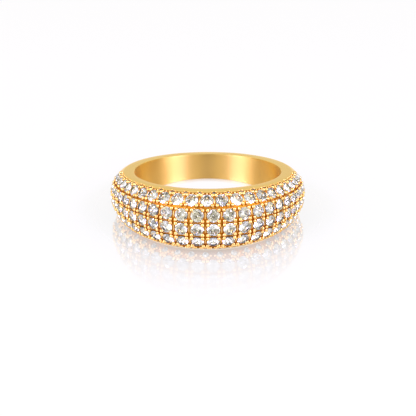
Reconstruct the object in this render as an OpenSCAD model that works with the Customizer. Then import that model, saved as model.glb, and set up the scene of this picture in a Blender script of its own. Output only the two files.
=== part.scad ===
// Half pave dome ring in yellow metal, lying on its lower side face. Sizes in millimetres.
// Angles run around the finger hole from the front, which faces -Y. Places across the band are
// shares of its half width: 1 is the upper side face, 0 the middle and -1 the lower side face.

/* [Finger hole] */
// Diameter of the finger hole
finger_d = 17; // [15:0.1:21]

/* [Band] */
// Width of the band at the front, at the edge of the finger hole
front_width = 6.45; // [5:0.05:8]
// Width of the band at the back, at the edge of the finger hole
back_width = 3.25; // [2:0.05:4]
// Wall from the finger hole to the top of the dome at the front
front_wall = 3.25; // [2.4:0.05:4]
// Wall from the finger hole to the top of the dome beside the finger
shoulder_wall = 2.65; // [2.1:0.05:3.5]
// Wall from the finger hole to the outside at the back
back_wall = 1.4; // [1.35:0.05:2]
// Angle from the front at which the wall begins to thin out towards the back
shoulder_angle = 82; // [70:1:95]
// Width of the flat rim on the side faces, around the finger hole
rim_width = 1.2; // [0.8:0.05:1.25]

/* [Stones] */
// Metal between two rows of stones at the front
row_gap = 0.165; // [0.14:0.005:0.3]
// Metal between two neighbours in a row at the front
neighbour_gap = 0.345; // [0.3:0.005:0.6]
// Metal between two neighbours in a row where the stones end
end_gap = 0.15; // [0.15:0.005:0.2]
// Size of the small stones beside the upper rim, as a share of the large ones
upper_edge_share = 0.33; // [0.3:0.005:0.34]
// Size of the small stones beside the lower rim, as a share of the large ones
lower_edge_share = 0.48; // [0.4:0.01:0.55]
// Angle from the front at which the stones end on each side
pave_end = 88; // [60:1:95]
// Clearance between a stone and its seat
seat_gap = 0.03; // [0.02:0.005:0.05]
// Radius of the metal beads that hold the stones
bead_r = 0.15; // [0.1:0.01:0.17]

/* [Hidden] */

hole_r = finger_d / 2;
rim_r = hole_r + rim_width;
cut_past = 1; // how far the cutting bodies run past what they cut

// The side faces are planes that lean towards each other at the back
face_slope = (front_width - back_width) / 2 / finger_d;
face_tilt = atan(face_slope);
middle_half = (front_width + back_width) / 4;
function half_width(a) = middle_half + face_slope * rim_r * cos(a);
function taper(a) = half_width(a) / half_width(0);

// Wall around the ring: thickest at the front, even at the shoulders, thin at the back
front_ease = 3;
back_ease = 1.2;
function folded(a) = abs(a) > 180 ? 360 - abs(a) : abs(a);
function front_part(b) =
    shoulder_wall + (front_wall - shoulder_wall) * pow(cos(90 * b / shoulder_angle), front_ease);
function back_part(b) =
    let (t = (b - shoulder_angle) / (180 - shoulder_angle))
    back_wall + (shoulder_wall - back_wall) * (1 - pow(sin(90 * t), back_ease));
function crown_r(a) =
    let (b = folded(a))
    hole_r + (b < shoulder_angle ? front_part(b) : back_part(b));

// Section of the dome: round, and cut off by the side faces at share 1
dome_reach = 1.03;
dome_roundness = 0.44;
function dome_height(u) = pow(max(0, 1 - pow(u / dome_reach, 2)), dome_roundness);
function dome_depth(a) = (crown_r(a) - rim_r) / (1 - dome_height(1));
function dome_r(a, u) = crown_r(a) - dome_depth(a) * (1 - dome_height(u));
function dome_point(a, u) = [dome_r(a, u) * sin(a), -dome_r(a, u) * cos(a), u * half_width(a)];

around_steps = 72;
across_steps = 16;
function across_share(i) = dome_reach * sin(180 * i / across_steps - 90);

// Distance from stone to stone along a row, as an angle: the stones follow the narrowing band
row_step = 0.48 * half_width(0);
stone_d = row_step - row_gap;
size_taper = 1.25;
function stone_size(a) = pow(taper(a), size_taper);
function gap_beside(a) =
    end_gap + (neighbour_gap - end_gap) * pow(cos(90 * min(1, abs(a) / pave_end)), 2);
function column_step(a) = (stone_d * stone_size(a) + gap_beside(a)) / crown_r(a) * 180 / PI;

// Angles of a row's stones, counted both ways from the front; start is the place of the first
// stone to the right of the front, in steps
function run(a, way) =
    abs(a) + column_step(a) / 2 > pave_end ? [] : concat([a], run(a + way * column_step(a), way));
function reversed(l) = [for (i = [len(l) - 1 : -1 : 0]) l[i]];
function columns(start) =
    concat(reversed(run((start - 1) * column_step(0), -1)), run(start * column_step(0), 1));
function between(l) = [for (i = [0 : len(l) - 2]) (l[i] + l[i + 1]) / 2];
upper_columns = columns(0);
lower_columns = columns(0.4);

// Rows from the upper rim to the lower one: place across the band, angles, size as a share
rows = [
    [0.955, between(upper_columns), upper_edge_share],
    [0.785, upper_columns, 1],
    [0.355, lower_columns, 1],
    [-0.12, lower_columns, 1],
    [-0.59, lower_columns, 1],
    [-0.885, between(lower_columns), lower_edge_share],
];

// One entry for each stone: angle, place across the band, radius of the stone, 1 if it has beads
stones = [
    for (row = rows)
        for (a = row[1]) [a, row[0], stone_d / 2 * row[2] * stone_size(a), row[2] == 1 ? 1 : 0]
];

// Cut of a stone, in shares of its radius
table_share = 0.56;
crown_share = 0.28;
pavilion_share = 0.86;
stone_sides = 16;

// A stone's girdle lies on the chord across the dome under it: place, lean and heading
function chord_end(a, u) = [dome_r(a, u), u * half_width(a)];
function steepness(a, u) = (dome_r(a, u - 0.01) - dome_r(a, u + 0.01)) / 0.02 / half_width(a);
function seat_span(s) = s[2] / half_width(s[0]) * cos(atan(steepness(s[0], s[1])));
function chord_low(s) = chord_end(s[0], s[1] - seat_span(s));
function chord_high(s) = chord_end(s[0], s[1] + seat_span(s));
function lean(s) =
    let (low = chord_low(s), high = chord_high(s))
    atan2(low[0] - high[0], high[1] - low[1]);
function heading(a) = a - atan((crown_r(a + 1) - crown_r(a - 1)) / 2 * 180 / PI / crown_r(a));
function seat_point(s) =
    let (r = (chord_low(s)[0] + chord_high(s)[0]) / 2)
    [r * sin(s[0]), -r * cos(s[0]), s[1] * half_width(s[0])];

// Places a shape that stands on Z = 0 at a stone's seat, with +Z out of the dome
module at_seat(s) {
    translate(seat_point(s)) rotate([0, 0, heading(s[0])]) rotate([90 - lean(s), 0, 0]) children();
}

// The same placing for a point
function placed(s, p) =
    let (
        h = heading(s[0]),
        e = lean(s),
        side = [cos(h), sin(h), 0],
        out = [sin(h) * cos(e), -cos(h) * cos(e), sin(e)],
        up = [-sin(h) * sin(e), cos(h) * sin(e), cos(e)]
    )
    seat_point(s) + p[0] * side + p[1] * up + p[2] * out;

function stone_ring(s, r, z, sides) =
    [for (i = [0 : sides - 1]) placed(s, [r * cos(360 * i / sides), r * sin(360 * i / sides), z])];
function stone_points(s) =
    concat(
        stone_ring(s, s[2] * table_share, s[2] * crown_share, stone_sides / 2),
        stone_ring(s, s[2], 0, stone_sides),
        [placed(s, [0, 0, -s[2] * pavilion_share])]
    );

// Faces of one stone: the table, the crown's facets and the pavilion's, numbered from its first point
half_sides = stone_sides / 2;
culet = half_sides + stone_sides;
function girdle(i) = half_sides + i % stone_sides;
stone_faces = concat(
    [[for (i = [half_sides - 1 : -1 : 0]) i]],
    [for (i = [0 : half_sides - 1]) [i, girdle(2 * i + 1), girdle(2 * i)]],
    [for (i = [0 : half_sides - 1]) [i, (i + 1) % half_sides, girdle(2 * i + 1)]],
    [for (i = [0 : half_sides - 1]) [(i + 1) % half_sides, girdle(2 * i + 2), girdle(2 * i + 1)]],
    [for (i = [0 : stone_sides - 1]) [girdle(i), girdle(i + 1), culet]]
);
points_per_stone = culet + 1;

// The ring lies on its lower side face, with the middle of its outline over the origin
function middle_shift() = (crown_r(0) - crown_r(180)) / 2;
module lying() {
    translate([0, middle_shift(), middle_half * cos(face_tilt)]) rotate([-face_tilt, 0, 0]) children();
}

// The dome all around, running a little past both side faces
module dome() {
    per_ring = across_steps + 1;
    points = [
        for (k = [0 : around_steps - 1])
            for (i = [0 : across_steps]) dome_point(360 * k / around_steps, across_share(i))
    ];
    function at(k, i) = (k % around_steps) * per_ring + i;
    skin = [
        for (k = [0 : around_steps - 1])
            for (i = [0 : across_steps - 1])
                for (half = [0, 1])
                    half == 0 ? [at(k, i), at(k, i + 1), at(k + 1, i + 1)]
                              : [at(k, i), at(k + 1, i + 1), at(k + 1, i)]
    ];
    lower_end = [for (k = [0 : around_steps - 1]) at(k, 0)];
    upper_end = [for (k = [around_steps - 1 : -1 : 0]) at(k, across_steps)];
    polyhedron(points, concat(skin, [lower_end, upper_end]), convexity = 4);
}

// The space between the two side faces
module between_side_faces() {
    reach = hole_r + shoulder_wall + cut_past;
    rise = face_slope * reach;
    rotate([90, 0, 90])
        linear_extrude(2 * reach, center = true)
            polygon([
                [-reach, -middle_half - rise],
                [reach, -middle_half + rise],
                [reach, middle_half - rise],
                [-reach, middle_half + rise],
            ]);
}

module finger_hole() {
    cylinder(h = front_width + 2 * cut_past, r = hole_r, center = true, $fn = 180);
}

// Seat of one stone: straight above the girdle, a cone under it
module seat(s) {
    r = s[2] + seat_gap;
    rotate_extrude($fn = 32)
        polygon([
            [0, r],
            [r, r],
            [r, -seat_gap],
            [seat_gap, -s[2] * pavilion_share - 2 * seat_gap],
            [0, -s[2] * pavilion_share - 2 * seat_gap],
        ]);
}

// Four beads at the corners of one stone, the size of the stone's share
module beads(s) {
    share = 2 * s[2] / stone_d;
    for (corner = [45 : 90 : 315])
        rotate([0, 0, corner]) translate([s[2] + bead_r * share / 2, 0, 0]) sphere(r = bead_r * share, $fn = 16);
}

// Shank, dome, beads and seats in one piece of metal
module band() {
    color([0.83, 0.6, 0.2])
        lying()
            difference() {
                union() {
                    intersection() {
                        dome();
                        between_side_faces();
                    }
                    for (s = stones)
                        if (s[3] == 1) at_seat(s) beads(s);
                }
                finger_hole();
                for (s = stones) at_seat(s) seat(s);
            }
}

// The whole field of faceted round stones
module pave_stones() {
    color([0.93, 0.95, 0.98])
        lying()
            polyhedron(
                [for (s = stones) each stone_points(s)],
                [
                    for (k = [0 : len(stones) - 1])
                        for (f = stone_faces) [for (i = f) i + k * points_per_stone]
                ],
                convexity = 6
            );
}

band();
pave_stones();
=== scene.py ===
import math

import bpy
from mathutils import Matrix, Vector


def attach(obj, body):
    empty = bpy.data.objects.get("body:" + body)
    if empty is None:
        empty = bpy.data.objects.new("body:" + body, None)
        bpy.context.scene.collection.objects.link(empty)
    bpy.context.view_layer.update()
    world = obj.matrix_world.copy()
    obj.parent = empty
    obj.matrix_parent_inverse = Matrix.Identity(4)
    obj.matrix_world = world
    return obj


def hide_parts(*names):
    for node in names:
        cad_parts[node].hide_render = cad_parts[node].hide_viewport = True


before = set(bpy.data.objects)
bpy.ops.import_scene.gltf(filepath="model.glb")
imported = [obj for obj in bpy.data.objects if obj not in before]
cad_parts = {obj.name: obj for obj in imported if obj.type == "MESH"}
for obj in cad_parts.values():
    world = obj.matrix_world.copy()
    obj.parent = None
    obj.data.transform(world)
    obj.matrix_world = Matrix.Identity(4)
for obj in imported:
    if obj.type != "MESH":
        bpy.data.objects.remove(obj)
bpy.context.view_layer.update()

mm = 0.001  # everything is modelled in millimetres and brought to metres when it is laid down


# The ring's shape, the same values as in the part

ringShape = {
    "holeRadius": 8.5,
    "rimWidth": 1.2,  # flat part of the side faces
    "frontWidth": 6.45,  # widths at the edge of the hole
    "backWidth": 3.25,
    "frontWall": 3.25,  # from the hole to the top of the dome
    "shoulderWall": 2.65,
    "backWall": 1.4,
    "shoulderAngle": 82.0,  # where the wall begins to thin out towards the back
    "frontEase": 3.0,
    "backEase": 1.2,
    "domeReach": 1.03,
    "domeRoundness": 0.44,
}

rimRadius = ringShape["holeRadius"] + ringShape["rimWidth"]
faceSlope = (ringShape["frontWidth"] - ringShape["backWidth"]) / 4 / ringShape["holeRadius"]
faceTilt = math.atan(faceSlope)
middleHalf = (ringShape["frontWidth"] + ringShape["backWidth"]) / 4


def halfAt(radius, angle):
    return middleHalf + faceSlope * radius * math.cos(math.radians(angle))


def halfWidth(angle):
    return halfAt(rimRadius, angle)


def taper(angle):
    return halfWidth(angle) / halfWidth(0)


def crownRadius(angle):
    shape = ringShape
    turn = abs((angle + 180) % 360 - 180)
    if turn < shape["shoulderAngle"]:
        ease = math.cos(math.radians(90 * turn / shape["shoulderAngle"])) ** shape["frontEase"]
        wall = shape["shoulderWall"] + (shape["frontWall"] - shape["shoulderWall"]) * ease
    else:
        share = (turn - shape["shoulderAngle"]) / (180 - shape["shoulderAngle"])
        ease = 1 - math.sin(math.radians(90 * share)) ** shape["backEase"]
        wall = shape["backWall"] + (shape["shoulderWall"] - shape["backWall"]) * ease
    return shape["holeRadius"] + wall


def domeHeight(share):
    return max(0.0, 1 - (share / ringShape["domeReach"]) ** 2) ** ringShape["domeRoundness"]


def domeRadius(angle, share):
    crown = crownRadius(angle)
    depth = (crown - rimRadius) / (1 - domeHeight(1))
    return crown - depth * (1 - domeHeight(share))


def onRing(radius, angle, height):
    turn = math.radians(angle)
    return Vector((radius * math.sin(turn), -radius * math.cos(turn), height))


# The ring lies on its lower side face, with the middle of its outline over the origin
middleShift = (crownRadius(0) - crownRadius(180)) / 2
lying = (
    Matrix.Scale(mm, 4)
    @ Matrix.Translation((0, middleShift, middleHalf * math.cos(faceTilt)))
    @ Matrix.Rotation(-faceTilt, 4, "X")
)


# Where the stones sit

stoneRows = {
    "rowStep": 0.48,  # from row to row, as a share of half the front width
    "rowGap": 0.165,
    "neighbourGap": 0.345,  # metal between neighbours at the front, and where the stones end
    "endGap": 0.15,
    "sizeTaper": 1.25,
    "paveEnd": 88.0,
    "upperEdgeShare": 0.33,  # size of the small stones beside the rims
    "lowerEdgeShare": 0.48,
    "lowerStart": 0.4,  # place of the lower rows' first stone beside the front, in steps
    "slopeStep": 0.01,  # how far apart the dome is measured for its slope
}

stoneDiameter = stoneRows["rowStep"] * halfWidth(0) - stoneRows["rowGap"]


def stoneSize(angle):
    return taper(angle) ** stoneRows["sizeTaper"]


def gapBeside(angle):
    ease = math.cos(math.radians(90 * min(1, abs(angle) / stoneRows["paveEnd"]))) ** 2
    return stoneRows["endGap"] + (stoneRows["neighbourGap"] - stoneRows["endGap"]) * ease


def columnStep(angle):
    return math.degrees((stoneDiameter * stoneSize(angle) + gapBeside(angle)) / crownRadius(angle))


def rowAngles(start):
    angles = []
    for way, first in ((-1, start - 1), (1, start)):
        angle = first * columnStep(0)
        while abs(angle) + columnStep(angle) / 2 <= stoneRows["paveEnd"]:
            angles.append(angle)
            angle += way * columnStep(angle)
    return sorted(angles)


def between(angles):
    return [(left + right) / 2 for left, right in zip(angles, angles[1:])]


upperColumns = rowAngles(0)
lowerColumns = rowAngles(stoneRows["lowerStart"])
rows = [  # place across the band, angles, size as a share, large or small
    (0.955, between(upperColumns), stoneRows["upperEdgeShare"], False),
    (0.785, upperColumns, 1.0, True),
    (0.355, lowerColumns, 1.0, True),
    (-0.12, lowerColumns, 1.0, True),
    (-0.59, lowerColumns, 1.0, True),
    (-0.885, between(lowerColumns), stoneRows["lowerEdgeShare"], False),
]


# A stone's place and lean on the dome, with +Z out of the metal
def seatMatrix(angle, share, radius):
    half, step = halfWidth(angle), stoneRows["slopeStep"]
    steep = (domeRadius(angle, share - step) - domeRadius(angle, share + step)) / (2 * step) / half
    span = radius / half * math.cos(math.atan(steep))
    low = (domeRadius(angle, share - span), (share - span) * half)
    high = (domeRadius(angle, share + span), (share + span) * half)
    lean = math.atan2(low[0] - high[0], high[1] - low[1])
    growth = math.degrees(crownRadius(angle + 1) - crownRadius(angle - 1)) / 2
    heading = math.radians(angle) - math.atan(growth / crownRadius(angle))
    return (
        Matrix.Translation(onRing((low[0] + high[0]) / 2, angle, share * half))
        @ Matrix.Rotation(heading, 4, "Z")
        @ Matrix.Rotation(math.pi / 2 - lean, 4, "X")
    )


def placeStone(angle, share, size, large):
    radius = stoneDiameter / 2 * size * stoneSize(angle)
    seat = seatMatrix(angle, share, radius)
    return {"angle": angle, "share": share, "radius": radius, "large": large, "seat": seat}


stones = [
    placeStone(angle, share, size, large) for share, angles, size, large in rows for angle in angles
]
print("stones placed:", len(stones))


# Small helpers

def deselectAll():
    if bpy.context.object and bpy.context.object.mode != "OBJECT":
        bpy.ops.object.mode_set(mode="OBJECT")
    bpy.ops.object.select_all(action="DESELECT")


def named(name):
    piece = bpy.context.active_object
    piece.name = name
    piece.data.name = name
    return piece


def editAll():
    bpy.ops.object.mode_set(mode="EDIT")
    bpy.ops.mesh.select_all(action="SELECT")


def editDone():
    bpy.ops.object.mode_set(mode="OBJECT")


def settle():
    bpy.ops.object.transform_apply(location=True, rotation=True, scale=True)


def copyOf(piece, matrix):
    copy = piece.copy()
    copy.data = piece.data.copy()
    copy.data.transform(matrix)
    bpy.context.collection.objects.link(copy)
    return copy


def joined(pieces, name):
    deselectAll()
    for piece in pieces:
        piece.select_set(True)
    bpy.context.view_layer.objects.active = pieces[0]
    bpy.ops.object.join()
    return named(name)


def applyModifier(piece, kind, **settings):
    modifier = piece.modifiers.new(kind.lower(), kind)
    for key, value in settings.items():
        setattr(modifier, key, value)
    bpy.context.view_layer.objects.active = piece
    bpy.ops.object.modifier_apply(modifier=modifier.name)


def smooth(piece, angle):
    deselectAll()
    piece.select_set(True)
    bpy.context.view_layer.objects.active = piece
    bpy.ops.object.shade_smooth_by_angle(angle=math.radians(angle))


def layDown(piece, body="root"):
    piece.data.transform(lying)
    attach(piece, body)


def mapRange(nodes, links, value, fromMin, fromMax, toMin, toMax):
    node = nodes.new("ShaderNodeMapRange")
    names = ("From Min", "From Max", "To Min", "To Max")
    for name, number in zip(names, (fromMin, fromMax, toMin, toMax)):
        node.inputs[name].default_value = number
    links.new(value, node.inputs["Value"])
    return node.outputs["Result"]


def multiply(nodes, links, first, second):
    node = nodes.new("ShaderNodeMath")
    node.operation = "MULTIPLY"
    links.new(first, node.inputs[0])
    if isinstance(second, float):
        node.inputs[1].default_value = second
    else:
        links.new(second, node.inputs[1])
    return node.outputs["Value"]


def brightest(stops):
    return float(max(max(light) for place, light in stops))


# A colour ramp through the stops, in shares of the brightest; scale turns value into their units
def rampOf(nodes, links, value, stops, scale):
    last, most = stops[-1][0], brightest(stops)
    ramp = nodes.new("ShaderNodeValToRGB")
    links.new(multiply(nodes, links, value, scale / last), ramp.inputs["Fac"])
    elements = ramp.color_ramp.elements
    elements.remove(elements[1])
    for number, (place, light) in enumerate(stops):
        element = elements[0] if number == 0 else elements.new(place / last)
        element.position = place / last
        element.color = tuple(part / most for part in light) + (1,)
    return ramp.outputs["Color"]


def absolute(nodes, links, value):
    node = nodes.new("ShaderNodeMath")
    node.operation = "ABSOLUTE"
    links.new(value, node.inputs[0])
    return node.outputs["Value"]


def newMaterial(name):
    material = bpy.data.materials.new(name)
    material.use_nodes = True
    nodes, links = material.node_tree.nodes, material.node_tree.links
    return material, nodes, links, nodes["Principled BSDF"]


def noiseOf(nodes, links, scale, detail=None):
    place = nodes.new("ShaderNodeTexCoord")
    noise = nodes.new("ShaderNodeTexNoise")
    noise.inputs["Scale"].default_value = scale
    if detail is not None:
        noise.inputs["Detail"].default_value = detail
    links.new(place.outputs["Object"], noise.inputs["Vector"])
    return noise.outputs["Fac"]


def blendOf(nodes, links, share, first, second):
    blend = nodes.new("ShaderNodeMix")
    blend.data_type = "RGBA"
    blend.inputs[6].default_value = first
    blend.inputs[7].default_value = second
    links.new(share, blend.inputs[0])
    return blend.outputs[2]


# Camera

cameraView = {
    "elevation": 19.83,  # above the ring's middle plane, in degrees
    "azimuth": 0.53,
    "distance": 130.0,  # in mm
    "pixelsPerMm": 8.566,
    "middleX": 207.84,  # where the ring's middle falls in the picture
    "middleY": 189.72,
    "roll": -0.13,
    "picture": 416,
    "sensor": 36.0,
    "clip": (0.001, 10.0),
}


def turned(first, second, angle):
    cos, sin = math.cos(angle), math.sin(angle)
    return first * cos + second * sin, second * cos - first * sin


def makeCamera():
    view = cameraView
    elevation, azimuth, roll = (math.radians(view[key]) for key in ("elevation", "azimuth", "roll"))
    level = math.cos(elevation)
    back = Vector((math.sin(azimuth) * level, -math.cos(azimuth) * level, math.sin(elevation)))
    forward = -back
    right = forward.cross(Vector((0, 0, 1))).normalized()
    up = right.cross(forward)
    focal = view["pixelsPerMm"] * view["distance"]
    yaw = math.atan((view["middleX"] - view["picture"] / 2) / focal)
    pitch = math.atan((view["middleY"] - view["picture"] / 2) / focal)
    forward, right = turned(forward, right, -yaw)
    forward, up = turned(forward, up, pitch)
    right, up = turned(right, up, roll)
    turn = lying.to_3x3().normalized()
    camera = bpy.data.objects.new("camera", bpy.data.cameras.new("camera"))
    axes = Matrix([turn @ right, turn @ up, turn @ -forward]).transposed()
    camera.matrix_world = Matrix.Translation(lying @ (back * view["distance"])) @ axes.to_4x4()
    camera.data.sensor_width = view["sensor"]
    camera.data.lens = focal / view["picture"] * camera.data.sensor_width
    camera.data.clip_start, camera.data.clip_end = view["clip"]
    bpy.context.collection.objects.link(camera)
    bpy.context.scene.camera = camera


makeCamera()
print("camera placed")


# Materials

goldLook = {  # colour, deeper clouds in it, colour at a glance, roughness, stretch of the gloss
    "polishedGold": ((0.92, 0.63, 0.21, 1), (0.89, 0.58, 0.17, 1), (1.0, 0.91, 0.68, 1), 0.12, 0.0),
    "innerGold": ((0.86, 0.57, 0.19, 1), (0.82, 0.52, 0.16, 1), (0.96, 0.80, 0.50, 1), 0.42, 1.0),
    # the pavé bed's gold is the same gold darkened and deepened, painted shade between the stones
    "paveGoldPaintedShade": ((0.56, 0.235, 0.015, 1), (0.40, 0.14, 0.01, 1), (0.80, 0.50, 0.15, 1), 0.48, 0.0),
    # the beads' dark colour at a glance is painted shade round their rims
    "beadGoldPaintedRimShade": ((0.92, 0.62, 0.25, 1), (0.86, 0.52, 0.16, 1), (0.45, 0.22, 0.04, 1), 0.22, 0.0),
}

goldFinish = {  # the same on every gold; noise scales are per metre
    "cloudScale": 220.0,
    "cloudDetail": 3.0,
    "tintRange": (0.3, 0.7, 0.0, 0.5),  # from the noise to the share of the deeper colour
    "polishRange": (0.2, 0.8, 0.85, 1.2),  # from the noise to the share of the roughness
    "rippleScale": 1400.0,
    "rippleDetail": 2.0,
    "rippleStrength": 0.5,
    "rippleHeight": 0.004,  # in mm
    "glossTurn": 0.25,  # a quarter turn lays the stretched gloss across the wall of the hole
}


def goldMaterial(name):
    colour, deepColour, edgeColour, roughness, stretch = goldLook[name]
    finish = goldFinish
    material, nodes, links, shader = newMaterial(name)
    shader.inputs["Metallic"].default_value = 1.0
    shader.inputs["Specular Tint"].default_value = edgeColour
    cloud = noiseOf(nodes, links, finish["cloudScale"], finish["cloudDetail"])
    share = mapRange(nodes, links, cloud, *finish["tintRange"])
    links.new(blendOf(nodes, links, share, colour, deepColour), shader.inputs["Base Color"])
    low, high, least, most = finish["polishRange"]
    polish = mapRange(nodes, links, cloud, low, high, roughness * least, roughness * most)
    links.new(polish, shader.inputs["Roughness"])
    bump = nodes.new("ShaderNodeBump")
    bump.inputs["Strength"].default_value = finish["rippleStrength"]
    bump.inputs["Distance"].default_value = finish["rippleHeight"] * mm
    ripple = noiseOf(nodes, links, finish["rippleScale"], finish["rippleDetail"])
    links.new(ripple, bump.inputs["Height"])
    links.new(bump.outputs["Normal"], shader.inputs["Normal"])
    if stretch:
        shader.inputs["Anisotropic"].default_value = stretch
        shader.inputs["Anisotropic Rotation"].default_value = finish["glossTurn"]
        around = nodes.new("ShaderNodeTangent")
        around.direction_type = "RADIAL"
        around.axis = "Z"
        links.new(around.outputs["Tangent"], shader.inputs["Tangent"])
    return material


golds = {name: goldMaterial(name) for name in goldLook}


stoneLook = {
    "clear": (1.0, 1.0, 1.0, 1),
    "cloud": (0.93, 0.95, 0.98, 1),
    "cloudScale": 900.0,
    "refraction": 1.75,
    "roughness": 0.02,
    "bright": (0.93, 0.93, 0.93, 1),  # light and dark cells at the back of the stones; the dark cells are painted dark facet reflections
    "dark": (0.20, 0.20, 0.21, 1),
    "paintedFacetScale": 5600.0,
    "darkShare": (0.62, 0.88),
    "backRoughness": 0.03,
}


def stoneMaterial():
    look = stoneLook
    material, nodes, links, shader = newMaterial("clearStone")
    shader.inputs["Roughness"].default_value = look["roughness"]
    shader.inputs["IOR"].default_value = look["refraction"]
    shader.inputs["Transmission Weight"].default_value = 1.0
    cloud = noiseOf(nodes, links, look["cloudScale"])
    tint = blendOf(nodes, links, cloud, look["clear"], look["cloud"])
    links.new(tint, shader.inputs["Base Color"])
    return material


def foilMaterial():
    look = stoneLook
    material, nodes, links, shader = newMaterial("stoneBack")
    shader.inputs["Metallic"].default_value = 1.0
    shader.inputs["Roughness"].default_value = look["backRoughness"]
    place = nodes.new("ShaderNodeTexCoord")
    # dark cells on the mirror back, painted dark facet reflections
    paintedFacets = nodes.new("ShaderNodeTexVoronoi")
    paintedFacets.inputs["Scale"].default_value = look["paintedFacetScale"]
    links.new(place.outputs["Object"], paintedFacets.inputs["Vector"])
    share = mapRange(nodes, links, paintedFacets.outputs["Color"], *look["darkShare"], 0.0, 1.0)
    tint = blendOf(nodes, links, share, look["bright"], look["dark"])
    links.new(tint, shader.inputs["Base Color"])
    return material


clearStone = stoneMaterial()
stoneBack = foilMaterial()
print("materials ready")


# Band

bandModel = {
    "steps": 180,
    "holeSteps": 14,
    "domeSteps": 36,
    "domeTrim": 0.996,  # the dome stops just short of the side faces
    "holeEdge": 0.13,  # rounding at the edge of the hole
    "rimEdge": 0.05,
    "edgeSteps": 4,
    "mergeWithin": 0.0005,
    "bedDrop": 0.11,  # how far the metal between the stones lies under the dome
    "bedShare": 0.965,
    "rowChange": 0.57,  # share at which the upper columns give way to the lower ones
    "seatGap": 0.03,
    "seatSides": 24,
    "pavilion": 0.86,  # depth of a stone, as a share of its radius
    "seatDeeper": 0.06,  # how much deeper the seat goes, and how wide its tip stays
    "seatTip": 0.06,
    "smoothAngle": 28,
    "bedEdges": (0.03, 0.01),  # the bed's darkened gold, painted shade, starts this far past the rim and past the last row
    "wallDepth": 0.005,  # faces this close to the hole's radius are its wall
}


# The band's section at the front, from the wall of the hole over the rims and the dome
def sectionPoints():
    model = bandModel
    hole, rim, half = ringShape["holeRadius"], rimRadius, halfWidth(0)
    holeHalf, middle = halfAt(hole, 0), (hole + rim) / 2
    edge, rimEdge, steps = model["holeEdge"], model["rimEdge"], model["edgeSteps"]
    points = []
    for i in range(model["holeSteps"] + 1):
        points.append((hole, (holeHalf - edge) * (2 * i / model["holeSteps"] - 1)))
    for i in range(1, steps + 1):
        turn = math.pi / 2 * i / steps
        points.append((hole + edge * (1 - math.cos(turn)), holeHalf - edge * (1 - math.sin(turn))))
    points.append((middle, halfAt(middle, 0)))
    points.append((rim - rimEdge, halfAt(rim - rimEdge, 0)))
    for i in range(1, model["domeSteps"] * 2):
        share = math.sin(math.radians(90 - 90 * i / model["domeSteps"])) * model["domeTrim"]
        points.append((domeRadius(0, share), share * half))
    points.append((rim - rimEdge, -halfAt(rim - rimEdge, 0)))
    points.append((middle, -halfAt(middle, 0)))
    for i in range(steps):
        turn = math.pi / 2 * (1 - i / steps)
        points.append((hole + edge * (1 - math.cos(turn)), -holeHalf + edge * (1 - math.sin(turn))))
    return points


# True where the stones are, up to half a step past the last one of each row
def onBed(angle, share):
    columns = upperColumns if share > bandModel["rowChange"] else lowerColumns
    first, last = columns[0], columns[-1]
    return first - columnStep(first) / 2 < angle < last + columnStep(last) / 2


def ringAngle(point):
    return math.degrees(math.atan2(point.x, -point.y))


# Brings a point of the spun section to the ring's width, wall and bed at its own angle
def tapered(point):
    radius = math.hypot(point.x, point.y)
    angle = ringAngle(point)
    if radius <= rimRadius - bandModel["rimEdge"] / 2:
        height = point.z / halfAt(radius, 0) * halfAt(radius, angle)
    else:
        share = point.z / halfWidth(0)
        height = share * halfWidth(angle)
        radius = domeRadius(angle, share)
        if onBed(angle, share) and abs(share) < bandModel["bedShare"]:
            radius -= bandModel["bedDrop"]
    return onRing(radius, angle, height)


def makeSeatCutter():
    model = bandModel
    deselectAll()
    bpy.ops.mesh.primitive_cylinder_add(
        vertices=model["seatSides"], radius=1, depth=1, location=(0, 0, 0.5)
    )
    cutter = named("seatCutter")
    settle()
    for face in cutter.data.polygons:
        face.select = face.normal.z < -0.9  # only the underside
    for edge in cutter.data.edges:
        edge.select = False
    for vertex in cutter.data.vertices:
        vertex.select = vertex.co.z < 0.5
    bpy.ops.object.mode_set(mode="EDIT")
    bpy.ops.mesh.select_mode(type="FACE")
    deep = (0, 0, -model["pavilion"] - model["seatDeeper"])
    bpy.ops.mesh.extrude_region_move(TRANSFORM_OT_translate={"value": deep})
    tip = model["seatTip"]
    bpy.ops.transform.resize(value=(tip, tip, 1), center_override=(0, 0, 0))
    editDone()
    return cutter


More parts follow.
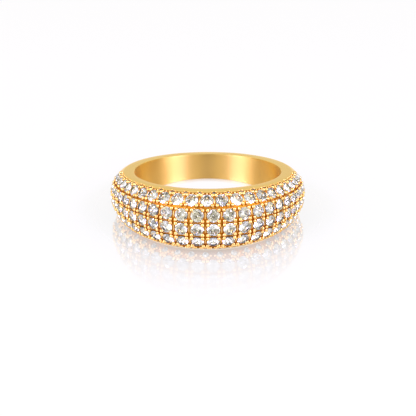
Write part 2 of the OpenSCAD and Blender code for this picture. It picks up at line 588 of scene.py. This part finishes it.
def makeBand():
    deselectAll()
    model = bandModel
    points = sectionPoints()
    bpy.ops.mesh.primitive_circle_add(vertices=len(points), radius=1, fill_type="NOTHING")
    band = named("goldBand")
    for vertex, (radius, height) in zip(band.data.vertices, points):
        vertex.co = (0, -radius, height)
    editAll()
    bpy.ops.mesh.spin(steps=model["steps"], angle=2 * math.pi, center=(0, 0, 0), axis=(0, 0, 1))
    bpy.ops.mesh.select_all(action="SELECT")
    bpy.ops.mesh.remove_doubles(threshold=model["mergeWithin"])
    editDone()
    for vertex in band.data.vertices:
        vertex.co = tapered(vertex.co)
    editAll()
    bpy.ops.mesh.normals_make_consistent(inside=False)
    editDone()
    cutter = makeSeatCutter()
    copies = []
    for stone in stones:
        size = stone["radius"] + model["seatGap"]
        copies.append(copyOf(cutter, stone["seat"] @ Matrix.Scale(size, 4)))
    bpy.data.objects.remove(cutter)
    cutters = joined(copies, "seatCutters")
    deselectAll()
    band.select_set(True)
    applyModifier(band, "BOOLEAN", operation="DIFFERENCE", solver="EXACT", object=cutters)
    bpy.data.objects.remove(cutters)
    band.data.materials.clear()
    for name in ("polishedGold", "paveGoldPaintedShade", "innerGold"):
        band.data.materials.append(golds[name])
    pastRim, pastRow = model["bedEdges"]
    for face in band.data.polygons:
        radius = math.hypot(face.center.x, face.center.y)
        angle = ringAngle(face.center)
        share = face.center.z / halfWidth(angle)
        inBed = radius > rimRadius + pastRim and abs(share) < model["bedShare"] + pastRow
        # faces between the stones get the darkened gold, painted shade
        if inBed and onBed(angle, share):
            face.material_index = 1
        elif radius < ringShape["holeRadius"] + model["wallDepth"]:
            face.material_index = 2
    smooth(band, model["smoothAngle"])
    layDown(band)
    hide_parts("band")


makeBand()
print("band made")


# Stones

stoneCut = {  # in shares of a stone's radius
    "sides": 16,
    "girdle": 0.035,
    "crown": 0.30,
    "table": 0.56,
    "starRadius": 0.79,
    "starHeight": 0.185,
    "pavilion": 0.84,
    "lowerRadius": 0.22,
    "lowerDepth": 0.66,
    "tip": 0.02,
    "backSlope": -0.1,  # faces that look down more than this get the stone's back
}


def makeStone():
    deselectAll()
    cut, sides = stoneCut, stoneCut["sides"]
    half, halfTurn = sides // 2, 360 / sides
    rings = [  # radius, height, points, turn
        (1.0, 0.0, sides, 0.0),
        (1.0, cut["girdle"], sides, 0.0),
        (cut["starRadius"], cut["girdle"] + cut["starHeight"], half, halfTurn),
        (cut["table"], cut["girdle"] + cut["crown"], half, 0.0),
        (cut["lowerRadius"], -cut["lowerDepth"], half, halfTurn),
        (cut["tip"], -cut["pavilion"], half, 0.0),
    ]
    for number, (radius, height, count, turn) in enumerate(rings):
        if number == 0:
            bpy.ops.mesh.primitive_circle_add(vertices=count, radius=radius, location=(0, 0, 0))
            stone = named("cutStone")
            bpy.ops.object.mode_set(mode="EDIT")
        else:
            heading = (0, 0, math.radians(turn))
            bpy.ops.mesh.primitive_circle_add(
                vertices=count, radius=radius, location=(0, 0, height), rotation=heading
            )
    bpy.ops.mesh.select_all(action="SELECT")
    bpy.ops.mesh.convex_hull()
    bpy.ops.mesh.select_all(action="SELECT")
    bpy.ops.mesh.normals_make_consistent(inside=False)
    editDone()
    stone.data.materials.append(clearStone)
    stone.data.materials.append(stoneBack)
    for face in stone.data.polygons:
        face.material_index = 1 if face.normal.z < cut["backSlope"] else 0
    return stone


def makeStones():
    stone = makeStone()
    copies = [copyOf(stone, place["seat"] @ Matrix.Scale(place["radius"], 4)) for place in stones]
    bpy.data.objects.remove(stone)
    field = joined(copies, "paveStones")
    layDown(field)
    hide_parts("pave_stones")


makeStones()
print("stones made")


# Beads and bars

beadWork = {
    "radius": 0.235,
    "upperRadius": 0.12,  # beads of the small stones beside the rims
    "lowerRadius": 0.19,
    "corners": (45, 135, 225, 315),  # where a stone's beads stand around it
    "lowestCorners": (45, 90, 135),  # beside the lower rim, so that none pokes into the floor
    "lowestShare": -0.8,
    "reach": 0.55,  # how far a bead's middle lies past the stone's edge, in bead radii
    "lift": 0.02,
    "beadSides": (8, 6),
    "beadSmooth": 80,
    "seamRadius": 0.085,  # tiny beads between two rows
    "seamOffset": 0.36,
    "seamDrop": 0.05,
    "seamSeat": 0.2,  # reach over which a seam bead takes the dome's lean
    "edgeLines": (  # place across the band, columns, places beside each column in steps, radius
        (0.953, upperColumns, (-0.25, 0, 0.25), 0.12),
        (-0.87, lowerColumns, (-0.17, 0.17), 0.19),
    ),
    "edgeDrop": 0.03,
    "barWidth": 0.125,
    "barLength": 0.56,  # as a share of a stone's diameter
    "barHeight": 0.16,
    "barDrop": 0.05,
    "barRound": 0.3,
    "barSmooth": 60,
    "leastGap": 0.2,  # bars and seam beads need this much metal between neighbours
}


def makeBead():
    deselectAll()
    segments, rings = beadWork["beadSides"]
    bpy.ops.mesh.primitive_uv_sphere_add(segments=segments, ring_count=rings, radius=1)
    bead = named("bead")
    smooth(bead, beadWork["beadSmooth"])
    return bead


def makeBar():
    deselectAll()
    bpy.ops.mesh.primitive_cube_add(size=1)
    bar = named("bar")
    editAll()
    bpy.ops.mesh.bevel(offset=beadWork["barRound"], segments=2, affect="EDGES")
    editDone()
    smooth(bar, beadWork["barSmooth"])
    return bar


def seamBeads(bead):
    work, copies = beadWork, []
    largeRows = [row for row in rows if row[3]]
    for upper, lower in zip(largeRows, largeRows[1:]):
        share = (upper[0] + lower[0]) / 2
        for angle in lower[1]:
            if gapBeside(angle) < work["leastGap"]:
                continue
            scale = stoneSize(angle)
            seat = seatMatrix(angle, share, work["seamSeat"])
            for side in (-1, 1):
                aside = side * work["seamOffset"] * scale
                place = seat @ Matrix.Translation((aside, 0, -work["seamDrop"]))
                copies.append(copyOf(bead, place @ Matrix.Scale(work["seamRadius"] * scale, 4)))
    return copies


def edgeBeads(bead):
    copies = []
    for share, columns, places, radius in beadWork["edgeLines"]:
        for column in columns:
            for step in places:
                angle = column + step * columnStep(column)
                lower = Matrix.Translation((0, 0, -beadWork["edgeDrop"]))
                seat = seatMatrix(angle, share, radius) @ lower
                copies.append(copyOf(bead, seat @ Matrix.Scale(radius * taper(angle), 4)))
    return copies


def beadSize(stone):
    if stone["large"]:
        return beadWork["radius"] * 2 * stone["radius"] / stoneDiameter
    radius = beadWork["upperRadius"] if stone["share"] > 0 else beadWork["lowerRadius"]
    return radius * taper(stone["angle"])


def finishBeadWork(copies, name):
    piece = joined(copies, name)
    piece.data.materials.clear()
    piece.data.materials.append(golds["beadGoldPaintedRimShade"])
    layDown(piece)


def makeBeads():
    work, bead = beadWork, makeBead()
    copies = seamBeads(bead) + edgeBeads(bead)
    for stone in stones:
        size = beadSize(stone)
        out = stone["radius"] + size * work["reach"]
        lowest = stone["share"] <= work["lowestShare"]
        for corner in work["lowestCorners" if lowest else "corners"]:
            turn = math.radians(corner)
            place = Matrix.Translation((out * math.cos(turn), out * math.sin(turn), work["lift"]))
            copies.append(copyOf(bead, stone["seat"] @ place @ Matrix.Scale(size, 4)))
    bpy.data.objects.remove(bead)
    finishBeadWork(copies, "holdingBeads")


def makeBars():
    work, bar = beadWork, makeBar()
    copies = []
    for share, angles, size, large in rows:
        if not large:
            continue
        for angle in between(angles):
            if gapBeside(angle) < work["leastGap"]:
                continue
            radius = stoneDiameter / 2 * stoneSize(angle)
            seat = seatMatrix(angle, share, radius) @ Matrix.Translation((0, 0, -work["barDrop"]))
            length = work["barLength"] * 2 * radius
            shape = Matrix.Diagonal((work["barWidth"], length, work["barHeight"], 1))
            copies.append(copyOf(bar, seat @ shape))
    bpy.data.objects.remove(bar)
    finishBeadWork(copies, "webBars")


makeBeads()
makeBars()
print("beads and bars made")


# Floor, light and world

studio = {
    "floorSize": 1.2,
    "floorColour": (0.1, 0.1, 0.1, 1),
    "floorGlow": 0.84,  # a floor lit from below as well, as on a light table
    "floorRoughness": 0.6,
    "mirror": (  # how much the floor mirrors, by the distance in mm from the middle of the ring; where it mirrors its glow gives way, so the peaks under the back wall and at the front edge are partly reflection and partly painted contact shadow
        (0, 0), (7.4, 0), (8.4, 0.50), (9.2, 0.2), (9.6, 0.44), (10.8, 0.44), (12.1, 0.34),
        (13.5, 0.22), (16.9, 0.09), (20, 0.03), (24, 0),
    ),
    "worldLow": 0.62,  # brightness at the horizon and overhead
    "worldHigh": 0.74,
    "panels": (  # light of the upright panels around the ring, by the angle from the viewer
        (0, (0.55, 0.49, 0.40)),
        (10, (0.90, 0.80, 0.56)),
        (16, (1.9, 1.7, 1.1)),
        (30, (2.0, 2.0, 1.8)),
        (44, (2.8, 2.9, 3.1)),
        (57, (4.8, 4.7, 6.0)),
        (70, (5.2, 5.0, 5.6)),
        (80, (2.4, 2.2, 1.7)),
        (90, (1.1, 0.8, 0.3)),
        (106, (1.1, 0.8, 0.3)),
        (120, (2.1, 1.9, 0.8)),
        (136, (1.4, 1.3, 1.1)),
        (160, (1.35, 1.35, 1.35)),
        (180, (1.35, 1.35, 1.35)),
    ),
    "panelTop": (0.82, 0.98),  # height at which the panels give way to the ceiling
    "lightColour": (0.97, 0.80, 1.40),
    "lights": [  # place in mm, size in mm, watts
        ((-103, -61, 120), (70, 24), 0.108),
        ((103, -61, 120), (70, 24), 0.108),
    ],
}


def makeFloor():
    deselectAll()
    bpy.ops.mesh.primitive_plane_add(size=studio["floorSize"])
    floor = named("floor")
    material, nodes, links, shader = newMaterial("floorWhite")
    shader.inputs["Base Color"].default_value = studio["floorColour"]
    shader.inputs["Roughness"].default_value = studio["floorRoughness"]
    shader.inputs["Specular IOR Level"].default_value = 0.0
    shader.inputs["Emission Color"].default_value = (1, 1, 1, 1)
    shader.inputs["Emission Strength"].default_value = studio["floorGlow"]
    mirror = nodes.new("ShaderNodeBsdfGlossy")
    mirror.inputs["Color"].default_value = (1, 1, 1, 1)
    mirror.inputs["Roughness"].default_value = 0.0
    place = nodes.new("ShaderNodeTexCoord")
    away = nodes.new("ShaderNodeVectorMath")
    away.operation = "DISTANCE"
    away.inputs[1].default_value = (0, middleShift * mm, 0)
    links.new(place.outputs["Object"], away.inputs[0])
    stops = [(distance, (share,) * 3) for distance, share in studio["mirror"]]
    weight = rampOf(nodes, links, away.outputs["Value"], stops, 1 / mm)
    mix = nodes.new("ShaderNodeMixShader")
    links.new(multiply(nodes, links, weight, brightest(stops)), mix.inputs["Fac"])
    links.new(shader.outputs["BSDF"], mix.inputs[1])
    links.new(mirror.outputs["BSDF"], mix.inputs[2])
    links.new(mix.outputs["Shader"], nodes["Material Output"].inputs["Surface"])
    floor.data.materials.append(material)


def makeLights():
    for number, (place, size, watts) in enumerate(studio["lights"]):
        light = bpy.data.lights.new(f"softbox{number}", "AREA")
        light.shape = "RECTANGLE"
        light.size, light.size_y = size[0] * mm, size[1] * mm
        light.energy = watts
        light.color = studio["lightColour"]
        lamp = bpy.data.objects.new(light.name, light)
        lamp.location = Vector(place) * mm
        lamp.rotation_euler = (-Vector(place)).to_track_quat("-Z", "Y").to_euler()
        bpy.context.collection.objects.link(lamp)


def makeWorld():
    world = bpy.data.worlds.new("studio")
    bpy.context.scene.world = world
    world.use_nodes = True
    nodes, links = world.node_tree.nodes, world.node_tree.links
    place = nodes.new("ShaderNodeTexCoord")
    parts = nodes.new("ShaderNodeSeparateXYZ")
    links.new(place.outputs["Generated"], parts.inputs["Vector"])
    low, high = studio["worldLow"], studio["worldHigh"]
    height = mapRange(nodes, links, parts.outputs["Z"], 0, 1, low, high)
    turn = nodes.new("ShaderNodeMath")
    turn.operation = "ARCTAN2"
    links.new(absolute(nodes, links, parts.outputs["X"]), turn.inputs[0])
    links.new(multiply(nodes, links, parts.outputs["Y"], -1.0), turn.inputs[1])
    most = brightest(studio["panels"])
    pale = (1 / most, 1 / most, 1 / most, 1)
    share = mapRange(nodes, links, parts.outputs["Z"], *studio["panelTop"], 0, 1)
    colour = blendOf(nodes, links, share, pale, pale)
    panels = rampOf(nodes, links, turn.outputs["Value"], studio["panels"], math.degrees(1))
    links.new(panels, colour.node.inputs[6])
    links.new(colour, nodes["Background"].inputs["Color"])
    links.new(multiply(nodes, links, height, most), nodes["Background"].inputs["Strength"])


makeFloor()
makeLights()
makeWorld()
bpy.context.scene.view_settings.view_transform = "Standard"
print("floor and lights made")
